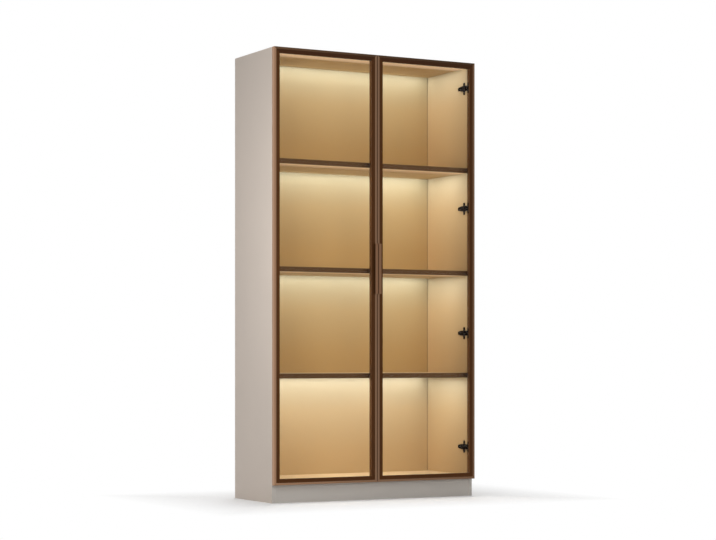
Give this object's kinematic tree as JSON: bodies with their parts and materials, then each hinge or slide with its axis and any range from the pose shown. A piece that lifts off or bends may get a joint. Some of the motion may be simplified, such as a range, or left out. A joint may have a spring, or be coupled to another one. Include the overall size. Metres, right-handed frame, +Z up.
{
  "type": "display bookcase with hinged glass doors",
  "caption": "Tall lit display bookcase: greige board carcass, open shelves with light lines, and a pair of bronze-framed hinged glass doors with slim pulls.",
  "frame": {"origin": "on the floor, in the middle of the footprint with the pulls", "axes": "+X to the right seen from the front, +Y to the back, +Z up"},
  "size_m": [1.032, 0.416, 2],
  "materials": {
    "greige_board": "satin greige melamine on board",
    "inside_board": "satin warm beige melamine on board",
    "bronze_aluminium": "satin bronze anodised",
    "bronze_channel": "satin bronze anodised",
    "clear_glass": "clear float glass",
    "black_rubber": "matt black",
    "clear_bumper": "translucent soft plastic",
    "black_hinge": "black nickel",
    "plain_steel": "zinc plated",
    "screw_steel": "black zinc",
    "light_diffuser": "warm white diffuser",
    "light_tape": "white flexible strip",
    "driver_plastic": "matt dark grey",
    "beech": "raw beech"
  },
  "bodies": {
    "cabinet": {"back_panel": "inside_board", "bottom_panel": "greige_board", "carcass_dowels": "beech", "front_plinth": "greige_board", "hinge_arm_screws": "screw_steel", "hinge_arms": "black_hinge", "hinge_mounting_plates": "black_hinge", "left_side_panel": "greige_board", "light_driver": "driver_plastic", "lower_light_channel": "bronze_channel", "lower_light_diffuser": "light_diffuser", "lower_light_tape": "light_tape", "lower_shelf_board": "inside_board", "lower_shelf_trim": "bronze_aluminium", "middle_light_channel": "bronze_channel", "middle_light_diffuser": "light_diffuser", "middle_light_tape": "light_tape", "middle_shelf_board": "inside_board", "middle_shelf_trim": "bronze_aluminium", "mounting_plate_screws": "screw_steel", "rear_plinth": "greige_board", "right_side_panel": "greige_board", "shelf_pins": "plain_steel", "top_light_channel": "bronze_channel", "top_light_diffuser": "light_diffuser", "top_light_tape": "light_tape", "top_panel": "greige_board", "upper_light_channel": "bronze_channel", "upper_light_diffuser": "light_diffuser", "upper_light_tape": "light_tape", "upper_shelf_board": "inside_board", "upper_shelf_trim": "bronze_aluminium"},
    "left_door": {"left_door_bottom_rail": "bronze_aluminium", "left_door_bumpers": "clear_bumper", "left_door_corner_keys": "plain_steel", "left_door_cup_screws": "screw_steel", "left_door_gasket": "black_rubber", "left_door_glass": "clear_glass", "left_door_hinge_cups": "black_hinge", "left_door_hinge_pins": "plain_steel", "left_door_hinge_stile": "bronze_aluminium", "left_door_meeting_stile": "bronze_aluminium", "left_door_pull": "bronze_aluminium", "left_door_pull_screws": "screw_steel", "left_door_top_rail": "bronze_aluminium"},
    "right_door": {"right_door_bottom_rail": "bronze_aluminium", "right_door_bumpers": "clear_bumper", "right_door_corner_keys": "plain_steel", "right_door_cup_screws": "screw_steel", "right_door_gasket": "black_rubber", "right_door_glass": "clear_glass", "right_door_hinge_cups": "black_hinge", "right_door_hinge_pins": "plain_steel", "right_door_hinge_stile": "bronze_aluminium", "right_door_meeting_stile": "bronze_aluminium", "right_door_pull": "bronze_aluminium", "right_door_pull_screws": "screw_steel", "right_door_top_rail": "bronze_aluminium"}
  },
  "joints": [
    {"name": "left_door_swing", "type": "hinge", "parent": "cabinet", "child": "left_door", "pos_m": [-0.5098, -0.1837, 1], "axis": [0, 0, -1], "range_deg": [0, 105]},
    {"name": "right_door_swing", "type": "hinge", "parent": "cabinet", "child": "right_door", "pos_m": [0.5098, -0.1837, 1], "axis": [0, 0, 1], "range_deg": [0, 105]}
  ]
}
